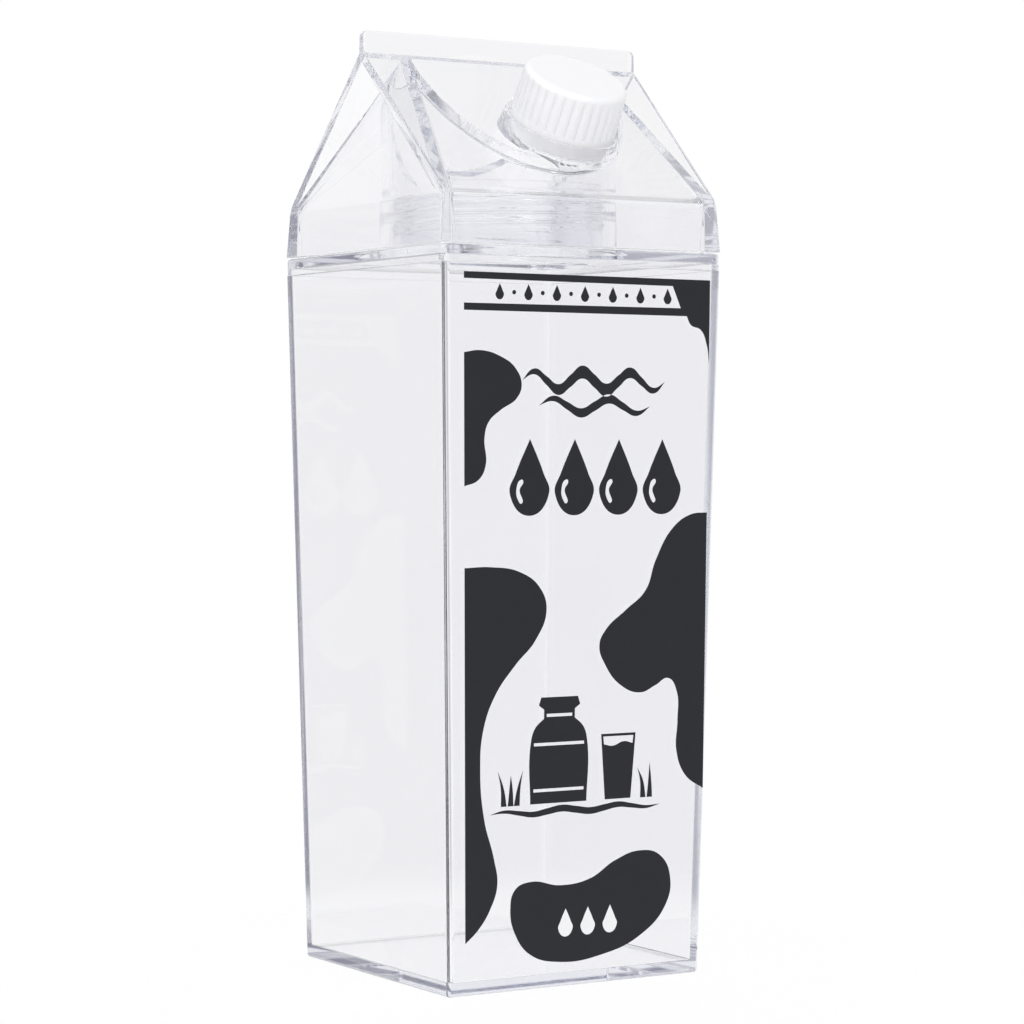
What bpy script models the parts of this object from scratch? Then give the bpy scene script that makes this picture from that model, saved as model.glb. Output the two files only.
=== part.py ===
"""Carton-shaped bottle of clear plastic.

A tapered square box carries a flat neck plate with a wide threaded neck. A gabled lid with a
fin on its ridge screws onto that neck, and a white ribbed cap closes a slanted spout in the
front slope of the roof.

Metres, +Z up. The origin is the middle of the base, the front slope and the spout face -Y.
"""
import math

import bmesh
import bpy
from mathutils import Matrix, Vector

MM = 0.001
GAP = 0.3 * MM                   # air between two pieces that touch

# box
BASE_SIDE = 67.5 * MM            # outer side at the floor
SEAM_SIDE = 74.7 * MM            # outer side where the box would meet the seam
SEAM_Z = 167.0 * MM              # top face of the neck plate
BOX_WALL = 1.7 * MM
FLOOR = 3.0 * MM
CORNER_RADIUS = 1.0 * MM         # upright edges outside
INNER_RADIUS = 0.6 * MM          # upright edges inside, also those of the lid
HEEL_RADIUS = 0.4 * MM           # inner edge between wall and floor
FOOT_RADIUS = 0.9 * MM           # outer edge under the wall

# neck plate
RIM_SIDE = 75.0 * MM             # stands slightly proud of the box and the lid
RIM_HEIGHT = 4.0 * MM
RIM_CORNER = 2.2 * MM
RIM_EDGE = 0.25 * MM
PLATE = 2.0 * MM
NECK_BORE = 21.6 * MM            # radii from here on
NECK_ROOT = 23.5 * MM
NECK_CREST = 24.4 * MM
NECK_TOP_Z = 182.0 * MM
THREAD_PITCH = 4.4 * MM
THREAD_TURNS = 2.5
THREAD_BITE = 0.6 * MM           # how deep a ridge is rooted in its wall
THREAD_START_Z = 169.3 * MM      # middle of the first ridge on the neck

# lid
LID_LOW_SIDE = 74.4 * MM
LID_WALL = 2.3 * MM              # thickness of the skirt
EAVE_HALF = 36.5 * MM
EAVE_Z = 179.0 * MM
RIDGE_Z = 212.4 * MM             # foot of the fin
RIDGE_HALF_LENGTH = 37.2 * MM
FIN_TOP_Z = 217.6 * MM
FIN_HALF_WIDTH = 1.0 * MM
RIDGE_HALF_WIDTH = 1.2 * MM
EAVE_RADIUS = 4.0 * MM           # long outer edge between skirt and slope
ROOF = 2.4 * MM                  # thickness of the two slopes at the eaves
RIDGE_ROOF = 1.4 * MM            # what is left of it, measured upright, at the ridge
GUSSET = 2.2 * MM                # thickness of the leaning end walls
GUSSET_RIDGE_HALF = 26.7 * MM    # where the end walls meet the ridge
TUBE_BORE = 24.8 * MM
TUBE_OUTER = 26.8 * MM
TUBE_LOW_Z = 167.9 * MM
TUBE_CREST = 23.9 * MM           # inner radius of the thread inside the tube

# spout, in lengths along its leaning axis from the point where it leaves the front slope
SPOUT_LEAN = math.radians(32.0)  # from upright towards the front
SPOUT_X = 4.7 * MM
SPOUT_UP_SLOPE = 24.0 * MM       # from the eave, along the slope
COLLAR_LOW_RADIUS = 14.6 * MM    # outer side, where the cup under the collar ends
COLLAR_RADIUS = 13.6 * MM        # outer side, at the rim
COLLAR_INNER = 13.1 * MM
COLLAR_TOP = 2.0 * MM
WELL_FLOOR = -1.9 * MM
CUP_BOTTOM = -3.6 * MM
SPOUT_ROOT = 10.2 * MM
SPOUT_BORE = 8.6 * MM
SPOUT_TOP = 11.3 * MM

# cap
CAP_RADIUS = 12.2 * MM           # at the top; the side widens towards the lower edge
CAP_LOW_RADIUS = 12.7 * MM
CAP_LOW = -1.5 * MM
CAP_TOP = 13.6 * MM
CAP_WALL = 1.3 * MM
CAP_CROWN = 1.6 * MM             # thickness of its flat top
CAP_EDGE = 1.4 * MM              # rounding between top and side
CAP_RIBS = 32
RIB_DEPTH = 0.45 * MM
RIB_LOW = 2.8 * MM
RIB_HIGH = 12.0 * MM

ROUND_STEPS = 48                 # facets round the wide neck and the tube
SPOUT_STEPS = 48
REACH = 30 * MM                  # how far a cutting shape runs past the piece

ROOF_SLOPE = math.atan2(RIDGE_Z - EAVE_Z, EAVE_HALF - RIDGE_HALF_WIDTH)
GUSSET_LEAN = math.atan2(EAVE_HALF - GUSSET_RIDGE_HALF, RIDGE_Z - EAVE_Z)
SPOUT_AXIS = Vector((0, -math.sin(SPOUT_LEAN), math.cos(SPOUT_LEAN)))
SPOUT_FOOT = Vector((
    SPOUT_X,
    -EAVE_HALF + SPOUT_UP_SLOPE * math.cos(ROOF_SLOPE),
    EAVE_Z + SPOUT_UP_SLOPE * math.sin(ROOF_SLOPE),
))
SPOUT_PLACE = Matrix.Translation(SPOUT_FOOT) @ Matrix.Rotation(SPOUT_LEAN, 4, "X")


def clear_scene():
    for obj in list(bpy.data.objects):
        bpy.data.objects.remove(obj, do_unlink=True)


def make_collection(name):
    collection = bpy.data.collections.new(name)
    bpy.context.scene.collection.children.link(collection)
    return collection


def plastic(name, colour, roughness, transmission=0.0):
    material = bpy.data.materials.new(name)
    material.use_nodes = True
    shader = material.node_tree.nodes["Principled BSDF"]
    shader.inputs["Base Color"].default_value = (*colour, 1.0)
    shader.inputs["Roughness"].default_value = roughness
    shader.inputs["Metallic"].default_value = 0.0
    shader.inputs["IOR"].default_value = 1.49
    shader.inputs["Transmission Weight"].default_value = transmission
    return material


def add_part(name, bm, collection, material=None, place=None):
    """Turn a bmesh into an object; without a material it is a shape that cuts or joins."""
    bm.normal_update()
    bmesh.ops.recalc_face_normals(bm, faces=bm.faces)
    mesh = bpy.data.meshes.new(name)
    bm.to_mesh(mesh)
    bm.free()
    mesh.shade_smooth()
    mesh.set_sharp_from_angle(angle=math.radians(30))
    obj = bpy.data.objects.new(name, mesh)
    if place is not None:
        obj.matrix_world = place
    if material is None:
        obj.hide_render = True
        obj.display_type = "WIRE"
    else:
        mesh.materials.append(material)
    collection.objects.link(obj)
    return obj


def boolean(target, tool, operation):
    modifier = target.modifiers.new(f"{operation.lower()}_{tool.name}", "BOOLEAN")
    modifier.operation = operation
    modifier.solver = "EXACT"
    modifier.object = tool


def bevel(bm, edges, radius, segments):
    bmesh.ops.bevel(
        bm, geom=edges, offset=radius, segments=segments, profile=0.5,
        affect="EDGES", material=-1,
    )


def upright(edge):
    low, high = edge.verts
    return abs(low.co.z - high.co.z) > edge.calc_length() / 2


def low_verts(bm):
    lowest = min(v.co.z for v in bm.verts)
    return [v for v in bm.verts if v.co.z < lowest + 0.01 * MM]


def low_edges(bm):
    lowest = set(low_verts(bm))
    return [e for e in bm.edges if all(v in lowest for v in e.verts)]


def box_half(z):
    """Half the outer side of the tapered box at height z."""
    return (BASE_SIDE + (SEAM_SIDE - BASE_SIDE) * z / SEAM_Z) / 2


def tapered_block(half_low, half_high, z_low, z_high, corner, foot):
    """Square block with rounded upright edges and a rounded lower edge."""
    bm = bmesh.new()
    bmesh.ops.create_cube(bm, size=2.0)
    for vert in bm.verts:
        half = half_high if vert.co.z > 0 else half_low
        z = z_high if vert.co.z > 0 else z_low
        vert.co = (vert.co.x * half, vert.co.y * half, z)
    bevel(bm, [e for e in bm.edges if upright(e)], corner, 3)
    if foot:
        bevel(bm, low_edges(bm), foot, 2)
    return bm


def cylinder(radius, z_low, z_high, steps, top_radius=None):
    """Upright cylinder, or a cone where the radius at its top is given too."""
    bm = bmesh.new()
    bmesh.ops.create_cone(
        bm, cap_ends=True, segments=steps, radius1=radius, radius2=top_radius or radius,
        depth=z_high - z_low,
    )
    bmesh.ops.translate(bm, verts=bm.verts, vec=(0, 0, (z_low + z_high) / 2))
    return bm


def tube(outer, bore, z_low, z_high, steps):
    """Open pipe: the ring between two circles, extruded upwards."""
    bm = bmesh.new()
    rings = [
        bmesh.ops.create_circle(bm, segments=steps, radius=r)["verts"] for r in (outer, bore)
    ]
    edges = [e for ring in rings for v in ring for e in v.link_edges]
    flat = bmesh.ops.bridge_loops(bm, edges=list(set(edges)))["faces"]
    grown = bmesh.ops.extrude_face_region(bm, geom=flat, use_keep_orig=True)["geom"]
    top = [g for g in grown if isinstance(g, bmesh.types.BMVert)]
    bmesh.ops.translate(bm, verts=bm.verts, vec=(0, 0, z_low))
    bmesh.ops.translate(bm, verts=top, vec=(0, 0, z_high - z_low))
    return bm


def thread(base_radius, crest_radius, start_z, base_width, crest_width):
    """One ridge of a thread, swept along a helix; its base sinks into the wall."""
    steps = round(ROUND_STEPS * THREAD_TURNS)
    bm = bmesh.new()
    section = [
        (base_radius, -base_width / 2), (crest_radius, -crest_width / 2),
        (crest_radius, crest_width / 2), (base_radius, base_width / 2),
    ]
    verts = [bm.verts.new((radius, 0, start_z + rise)) for radius, rise in section]
    edges = [bm.edges.new((verts[i - 1], verts[i])) for i in range(len(verts))]
    bmesh.ops.spin(
        bm, geom=verts + edges, cent=(0, 0, 0), axis=(0, 0, 1), steps=steps,
        dvec=(0, 0, THREAD_PITCH / ROUND_STEPS), angle=math.tau * THREAD_TURNS,
    )
    bmesh.ops.holes_fill(bm, edges=[e for e in bm.edges if e.is_boundary], sides=4)
    return bm


def roof_height(y, inset):
    """Height of the roof slope, or of a face parallel to it and inset below it."""
    return EAVE_Z + (EAVE_HALF - y) * math.tan(ROOF_SLOPE) - inset / math.cos(ROOF_SLOPE)


def gusset_reach(z, inset):
    """X of a leaning end wall, or of a face parallel to it and inset behind it."""
    return EAVE_HALF - (z - EAVE_Z) * math.tan(GUSSET_LEAN) - inset / math.cos(GUSSET_LEAN)


def make_box(parts, cutters, clear):
    top = SEAM_Z - RIM_HEIGHT - GAP
    body = add_part(
        "bottle_box",
        tapered_block(box_half(0), box_half(top), 0, top, CORNER_RADIUS, FOOT_RADIUS),
        parts, clear,
    )
    above = top + REACH
    hollow = add_part(
        "box_hollow",
        tapered_block(
            box_half(FLOOR) - BOX_WALL, box_half(above) - BOX_WALL, FLOOR, above,
            INNER_RADIUS, HEEL_RADIUS,
        ),
        cutters,
    )
    boolean(body, hollow, "DIFFERENCE")


def make_neck_plate(parts, cutters, clear):
    low = SEAM_Z - RIM_HEIGHT
    half = RIM_SIDE / 2
    plate = add_part(
        "neck_plate",
        tapered_block(half, half, low, SEAM_Z, RIM_CORNER, RIM_EDGE),
        parts, clear,
    )
    inner = box_half(low) - BOX_WALL
    recess = add_part(
        "plate_recess",
        tapered_block(inner, inner, low - REACH, SEAM_Z - PLATE, INNER_RADIUS, 0),
        cutters,
    )
    neck = add_part(
        "neck_wall", cylinder(NECK_ROOT, SEAM_Z - PLATE / 2, NECK_TOP_Z, ROUND_STEPS), cutters,
    )
    bore = add_part(
        "neck_bore",
        cylinder(NECK_BORE, low - REACH, NECK_TOP_Z + REACH, ROUND_STEPS), cutters,
    )
    ridge = add_part(
        "neck_thread",
        thread(NECK_ROOT - THREAD_BITE, NECK_CREST, THREAD_START_Z, 2.0 * MM, 0.8 * MM),
        cutters,
    )
    boolean(plate, recess, "DIFFERENCE")
    boolean(plate, neck, "UNION")
    boolean(plate, ridge, "UNION")
    boolean(plate, bore, "DIFFERENCE")


def long_eave(edge):
    """True for the two eaves under the slopes, which run along X."""
    first, second = edge.verts
    return (abs(first.co.x - second.co.x) > EAVE_HALF
            and all(abs(v.co.z - EAVE_Z) < 0.01 * MM for v in edge.verts))


def gabled_block():
    """Skirt, roof and fin in one outline: a block whose top face is drawn up twice."""
    bm = bmesh.new()
    bmesh.ops.create_cube(bm, size=2.0)
    low_half = LID_LOW_SIDE / 2
    for vert in bm.verts:
        high = vert.co.z > 0
        half = EAVE_HALF if high else low_half
        z = EAVE_Z if high else SEAM_Z + GAP
        vert.co = (vert.co.x * half, vert.co.y * half, z)
    levels = [
        (RIDGE_HALF_LENGTH, RIDGE_HALF_WIDTH, RIDGE_Z),
        (RIDGE_HALF_LENGTH, FIN_HALF_WIDTH, FIN_TOP_Z),
    ]
    for half_x, half_y, z in levels:
        top = max(bm.faces, key=lambda face: face.calc_center_median().z)
        grown = bmesh.ops.extrude_discrete_faces(bm, faces=[top])["faces"][0]
        for vert in grown.verts:
            vert.co = (math.copysign(half_x, vert.co.x), math.copysign(half_y, vert.co.y), z)
    bend = math.pi / 2 - ROOF_SLOPE
    bevel(bm, [e for e in bm.edges if long_eave(e)], EAVE_RADIUS * math.tan(bend / 2), 4)
    return bm


def gusset_pocket(side):
    """Space outside one end wall, under the overhanging ends of the two slopes."""
    bm = bmesh.new()
    bmesh.ops.create_cube(bm, size=2.0)
    eave_y = EAVE_HALF - ROOF / math.sin(ROOF_SLOPE)
    apex_y = 0.1 * MM
    apex_z = roof_height(apex_y, ROOF)
    for vert in bm.verts:
        z, half_y = (apex_z, apex_y) if vert.co.z > 0 else (EAVE_Z, eave_y)
        x = EAVE_HALF + REACH if vert.co.x > 0 else gusset_reach(z, 0)
        vert.co = (side * x, vert.co.y * half_y, z)
    return bm


def lid_room(wall, roof, gusset, ridge_roof):
    """Room under the lid: an upright square shaft that closes to a short ridge."""
    bm = bmesh.new()
    bmesh.ops.create_cube(bm, size=2.0)
    low_z = SEAM_Z - REACH / 2
    skirt_half = EAVE_HALF - wall
    shoulder_z = roof_height(skirt_half, roof)
    shoulder_x = min(skirt_half, gusset_reach(shoulder_z, gusset))
    for vert in bm.verts:
        x = shoulder_x if vert.co.z > 0 else skirt_half
        z = shoulder_z if vert.co.z > 0 else low_z
        vert.co = (vert.co.x * x, vert.co.y * skirt_half, z)
    bevel(bm, [e for e in bm.edges if upright(e)], INNER_RADIUS, 3)
    ridge_y = RIDGE_HALF_WIDTH / 4
    ridge_z = RIDGE_Z - ridge_roof
    ridge_x = gusset_reach(ridge_z, gusset)
    top = max(bm.faces, key=lambda face: face.calc_center_median().z)
    grown = bmesh.ops.extrude_discrete_faces(bm, faces=[top])["faces"][0]
    for vert in grown.verts:
        vert.co.x *= ridge_x / shoulder_x
        vert.co.y *= ridge_y / skirt_half
        vert.co.z = ridge_z
    return bm


def make_lid(parts, cutters, clear):
    lid = add_part("gable_lid", gabled_block(), parts, clear)
    for side, name in ((-1, "left"), (1, "right")):
        pocket = add_part(f"gusset_pocket_{name}", gusset_pocket(side), cutters)
        boolean(lid, pocket, "DIFFERENCE")
    room = add_part("lid_room", lid_room(LID_WALL, ROOF, GUSSET, RIDGE_ROOF), cutters)
    boolean(lid, room, "DIFFERENCE")

    # the tube ends half way into the roof and the end walls
    pipe = add_part(
        "lid_tube", tube(TUBE_OUTER, TUBE_BORE, TUBE_LOW_Z, RIDGE_Z, ROUND_STEPS), cutters,
    )
    limit = add_part(
        "tube_limit", lid_room(LID_WALL / 2, ROOF / 2, GUSSET / 2, RIDGE_ROOF / 2), cutters,
    )
    boolean(pipe, limit, "INTERSECT")
    boolean(lid, pipe, "UNION")
    ridge = add_part(
        "tube_thread",
        thread(TUBE_BORE + THREAD_BITE, TUBE_CREST, THREAD_START_Z + THREAD_PITCH / 2,
               1.8 * MM, 0.7 * MM),
        cutters,
    )
    boolean(lid, ridge, "UNION")

    steps = [
        ("spout_cup", COLLAR_LOW_RADIUS, COLLAR_RADIUS, CUP_BOTTOM, COLLAR_TOP, "UNION"),
        ("spout_well", COLLAR_INNER, None, WELL_FLOOR, COLLAR_TOP + REACH, "DIFFERENCE"),
        ("spout_neck", SPOUT_ROOT, None, (WELL_FLOOR + CUP_BOTTOM) / 2, SPOUT_TOP, "UNION"),
        ("spout_bore", SPOUT_BORE, None, CUP_BOTTOM - 2 * ROOF, SPOUT_TOP + REACH, "DIFFERENCE"),
    ]
    for name, radius, top_radius, low, high, operation in steps:
        shape = cylinder(radius, low, high, SPOUT_STEPS, top_radius)
        boolean(lid, add_part(name, shape, cutters, place=SPOUT_PLACE), operation)


def cap_side(z):
    """Outer radius of the cap's widening side at height z."""
    top = CAP_TOP - CAP_EDGE
    return CAP_RADIUS + (CAP_LOW_RADIUS - CAP_RADIUS) * (top - z) / (top - CAP_LOW)


def cap_profile():
    """Outer side of the cap, top to bottom, then back up its inside."""
    edge = [
        (CAP_RADIUS - CAP_EDGE + CAP_EDGE * math.sin(turn),
         CAP_TOP - CAP_EDGE + CAP_EDGE * math.cos(turn))
        for turn in (math.radians(a) for a in (0, 30, 60, 90))
    ]
    inner = CAP_RADIUS - CAP_WALL
    levels = (RIB_HIGH, RIB_HIGH - CAP_EDGE, RIB_LOW + CAP_EDGE / 3, RIB_LOW, CAP_LOW)
    return [
        (0, CAP_TOP), *edge, *[(cap_side(z), z) for z in levels],
        (inner, CAP_LOW), (inner, CAP_TOP - CAP_CROWN), (0, CAP_TOP - CAP_CROWN),
    ]


def make_cap(parts, white):
    """Turned cap; between the ribs its side is drawn in a little."""
    bm = bmesh.new()
    verts = [bm.verts.new((radius, 0, z)) for radius, z in cap_profile()]
    edges = [bm.edges.new(pair) for pair in zip(verts, verts[1:])]
    bmesh.ops.spin(
        bm, geom=verts + edges, cent=(0, 0, 0), axis=(0, 0, 1), angle=math.tau,
        steps=CAP_RIBS * 4, use_merge=True,
    )
    bmesh.ops.remove_doubles(bm, verts=bm.verts, dist=0.01 * MM)
    for vert in bm.verts:
        if RIB_LOW + CAP_EDGE / 4 < vert.co.z < RIB_HIGH - CAP_EDGE / 2:
            radius = vert.co.xy.length
            if radius > CAP_RADIUS - CAP_WALL / 2:
                turn = math.atan2(vert.co.y, vert.co.x)
                drawn_in = RIB_DEPTH * (1 - math.cos(CAP_RIBS * turn)) / 2
                vert.co.xy *= 1 - drawn_in / radius
    add_part("spout_cap", bm, parts, white, place=SPOUT_PLACE)


def main():
    clear_scene()
    parts = make_collection("carton_bottle")
    cutters = make_collection("cutters")
    clear = plastic("clear_plastic", (0.92, 0.92, 0.96), 0.04, transmission=1.0)
    white = plastic("white_plastic", (0.90, 0.90, 0.89), 0.38)
    make_box(parts, cutters, clear)
    make_neck_plate(parts, cutters, clear)
    make_lid(parts, cutters, clear)
    make_cap(parts, white)


main()
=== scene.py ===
"""Looks of a carton-shaped bottle of clear plastic.

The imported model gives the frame. Each of its four nodes is stood for by a smoother piece of the
same form, in clear styrene or white polypropylene, and the front wall gets its screen print.

Metres, +Z up, the printed front faces -Y. Sizes written in millimetres are multiplied by MM.
"""
import math

import bmesh
import bpy
from bpy.props import FloatProperty, IntProperty, PointerProperty, StringProperty
from mathutils import Matrix, Vector


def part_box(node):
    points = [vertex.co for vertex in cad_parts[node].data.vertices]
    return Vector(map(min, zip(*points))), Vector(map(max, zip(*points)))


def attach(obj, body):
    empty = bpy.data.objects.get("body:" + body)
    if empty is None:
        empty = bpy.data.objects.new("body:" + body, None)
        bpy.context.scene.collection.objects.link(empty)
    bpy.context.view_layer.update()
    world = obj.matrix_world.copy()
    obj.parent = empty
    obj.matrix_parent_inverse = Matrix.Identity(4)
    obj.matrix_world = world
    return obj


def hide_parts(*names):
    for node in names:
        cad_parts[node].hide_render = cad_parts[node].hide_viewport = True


bl_info = {
    "name": "Carton Bottle",
    "version": (1, 0, 0),
    "blender": (4, 5, 0),
    "location": "View3D > Sidebar > Bottle",
    "description": "Builds a clear carton-shaped bottle with gabled lid, ribbed cap and print",
    "category": "Add Mesh",
}

MM = 0.001
WELD = 0.02 * MM  # the box runs this far into the rim, so no air shows between
SAME = 0.01 * MM  # measures that differ by less are the same
DOUBLE = 0.001 * MM  # points that lie closer together are one
LENGTH = {"subtype": "DISTANCE", "unit": "LENGTH"}  # for each property that is a length
BODY = "root"

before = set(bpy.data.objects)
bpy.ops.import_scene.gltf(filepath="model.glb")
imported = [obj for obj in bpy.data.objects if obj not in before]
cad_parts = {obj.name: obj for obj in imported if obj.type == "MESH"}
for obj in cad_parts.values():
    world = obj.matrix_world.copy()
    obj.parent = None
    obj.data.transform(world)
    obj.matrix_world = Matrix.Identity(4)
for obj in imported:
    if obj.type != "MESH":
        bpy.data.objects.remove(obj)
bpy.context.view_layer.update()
PLATE_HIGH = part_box("neck_plate")[1]
LID_LOW, LID_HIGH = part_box("gable_lid")

# outer form that all four pieces share
BASE_SIDE = 67.5 * MM  # outer side of the box at the floor
SEAM_SIDE = 74.7 * MM  # outer side that the box's walls would have at SEAM_Z
SEAM_Z = 167.0 * MM  # top face of the neck plate
RIM_HEIGHT = 4.0 * MM
PLATE = 2.0 * MM  # thickness of the neck plate inside its rim
RIM_OVERHANG = 0.25 * MM  # rounding under the rim, where it stands proud of the box
RECESS_ROUND = 0.6 * MM  # inner edge between the rim and the underside of the plate
HEEL = 0.4 * MM  # inner edge between wall and floor
EAVE_HALF = 36.5 * MM  # half the lid's side where skirt and slopes would meet
EAVE_Z = 179.0 * MM
RIDGE_Z = 212.4 * MM  # the slopes end here and the fin starts
RIDGE_HALF_LENGTH = 37.2 * MM
RIDGE_HALF_WIDTH = 1.2 * MM
FIN_HALF_WIDTH = 1.0 * MM  # at its top
FIN_CORNER = 1.5 * MM  # rounding of its two upper corners
FIN_CREASE = 0.1 * MM  # rounding where it leaves the slopes; a larger one shades as a band
GUSSET_RIDGE_HALF = 26.7 * MM  # middle to outer face of an end wall, at the ridge
RIDGE_ROOF = 1.4 * MM  # what is left of the slopes, measured upright, at the ridge
RIDGE_ROOM = 0.05 * MM  # half the width of the room under the lid, at the ridge
ROOF_SLOPE = math.atan2(RIDGE_Z - EAVE_Z, EAVE_HALF - RIDGE_HALF_WIDTH)
GUSSET_LEAN = math.atan2(EAVE_HALF - GUSSET_RIDGE_HALF, RIDGE_Z - EAVE_Z)
ROUND_ABOVE = 0.27  # radians; an edge of the lid that turns by more gets rounded
FAR = 30 * MM  # how far a cutting shape runs past the piece

# neck and tube, radii; their ridges are lower than in the solids, to show as faint lines only
NECK_BORE = 21.6 * MM
NECK_ROOT = 23.5 * MM
NECK_CREST = 23.9 * MM
TUBE_BORE = 24.8 * MM
TUBE_OUTER = 26.8 * MM
TUBE_CREST = 24.4 * MM

NECK_FOOT = 0.8 * MM  # radius of the fillet between neck and plate
NECK_FOOT_BITE = 0.03 * MM  # how far that fillet reaches into the plate
NECK_LIP = 0.45 * MM  # radius of the rounding round the neck's mouth
TUBE_LOW_Z = 167.9 * MM
THREAD_PITCH = 4.4 * MM
THREAD_TURNS = 2.5
THREAD_START_Z = 169.3 * MM
THREAD_ROW = 0.2 * MM  # height of one row of faces where a thread is
THREAD_RUN_OUT = 1 / 12  # share of a turn over which a ridge runs out, at each end
NECK_THREAD_WIDTH = 2.4 * MM
TUBE_THREAD_WIDTH = 2.2 * MM

# fillet between the tube and the roof
JUNCTION = 2.3 * MM
JUNCTION_ROOT = 0.45 * MM  # how far it reaches into the tube and into the roof
JUNCTION_CHANGE = 16 * MM  # depth, from front to back, over which it shrinks
JUNCTION_LOSS = 1.05  # share of it that is gone behind; over 1 it hides in the roof

# spout: lengths along its leaning axis, from where it leaves the front slope
SPOUT_LEAN = math.radians(32.0)
SPOUT_X = 4.7 * MM
SPOUT_UP_SLOPE = 24.0 * MM
CUP_BOTTOM = -3.6 * MM  # underside of the cup that the collar stands round
CUP_RADIUS = 14.6 * MM
COLLAR_RADIUS = 13.6 * MM
COLLAR_INNER = 13.1 * MM
COLLAR_TOP = 2.0 * MM
WELL_FLOOR = -1.9 * MM
SPOUT_ROOT = 10.2 * MM
SPOUT_BORE = 8.6 * MM
SPOUT_TOP = 11.3 * MM
SPOUT_LIP = 0.4 * MM  # rounding of the spout's mouth and of the well's edge
SPOUT_PLACE = Matrix.Translation((
    SPOUT_X,
    -EAVE_HALF + SPOUT_UP_SLOPE * math.cos(ROOF_SLOPE),
    EAVE_Z + SPOUT_UP_SLOPE * math.sin(ROOF_SLOPE),
)) @ Matrix.Rotation(SPOUT_LEAN, 4, "X")

# cap: heights on the same axis
CAP_TOP = 13.6 * MM
CAP_LOW = -1.5 * MM
CAP_EDGE = 1.4 * MM  # rounding of its top edge
CAP_LOW_EDGE = 0.25 * MM
CAP_WALL = 1.3 * MM
CAP_ROOF = 1.6 * MM
CAP_ROWS = 24  # rows of faces along the ribs
CAP_FACETS = 16  # facets from one rib to the next
RIB_LOW = 2.8 * MM
RIB_HIGH = 12.8 * MM
RIB_RUN_OUT = 2.0 * MM  # length over which the grooves fade into the top edge
RIB_STEP = 0.4 * MM  # height of the step that ends them above the plain band
RIB_SWELL = 0.6  # power of the ribs' wave; under 1 the grooves get narrow

# print on the front wall
WALL_TILT = math.atan2((SEAM_SIDE - BASE_SIDE) / 2, SEAM_Z)
INK_COAT = 0.03 * MM  # thickness of one coat
INK_SINK = 0.01 * MM  # the ink bites into the plastic, so no air shows behind it
BLACK_LOW = 0.015 * MM  # the black starts inside the white coat, for the same reason
WHITE_LOW = 0.04 * MM
STROKE_SWELL = 0.6  # power of a wavy stroke's width; under 1 its points get short
PRINT_LEFT_LOW = (-29.5, 10.0)  # the printed field ends at this slanted line
PRINT_LEFT_HIGH = (-31.9, 161.0)
PRINT_RIGHT = 34.2

# camera, fitted to the corners of box and lid in the photograph
CAMERA_PLACE = (-0.38469, -0.63258, 0.12225)
CAMERA_TURN, CAMERA_DIP, CAMERA_ROLL = (math.radians(angle) for angle in (-31.531, 1.184, 0.05))
VIEW_AHEAD = Vector((
    -math.sin(CAMERA_TURN) * math.cos(CAMERA_DIP),
    math.cos(CAMERA_TURN) * math.cos(CAMERA_DIP),
    -math.sin(CAMERA_DIP),
))

# floor and surroundings
FLOOR_HALF = 2.0
FLOOR_DROP = 0.05 * MM  # the floor lies this far under the foot, clear of its face
FLOOR_GLOW = 1.01
FLOOR_GLOW_SHARE = 0.93  # the rest of the floor is paint that takes the soft shadow
FLOOR_FADE = (0.06, 0.2)  # distances from the middle between which the floor fades out
CEILING_RISE = (0.35, 0.75)  # upward part of a direction, where the ceiling fades in
TABLE_FALL = (-0.5, -0.2)  # and where the white table fades out

# Light round the bottle: degrees from the camera's side, to its right positive, and the share of
# white over the shade. The backdrop fades in from 118 degrees, a white screen stands on the
# camera's side, and a dark gap beside it is what the front wall mirrors.
LIGHT_ROUND = (
    (-180, 1.0), (-131, 1.0), (-117, 0.5), (-92, 0.5), (-74, 0.6), (-60, 1.05), (0, 1.05),
    (48, 1.05), (56, 0.15), (68, 0.1), (75, 0.72), (118, 0.72), (132, 0.92), (150, 1.0), (180, 1.0),
)


def linear(hex_colour):
    """sRGB hex, such as #F4F4F6, to linear RGBA."""
    parts = [int(hex_colour[i:i + 2], 16) / 255 for i in (1, 3, 5)]
    return (*[p / 12.92 if p <= 0.04045 else ((p + 0.055) / 1.055) ** 2.4 for p in parts], 1.0)


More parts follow.
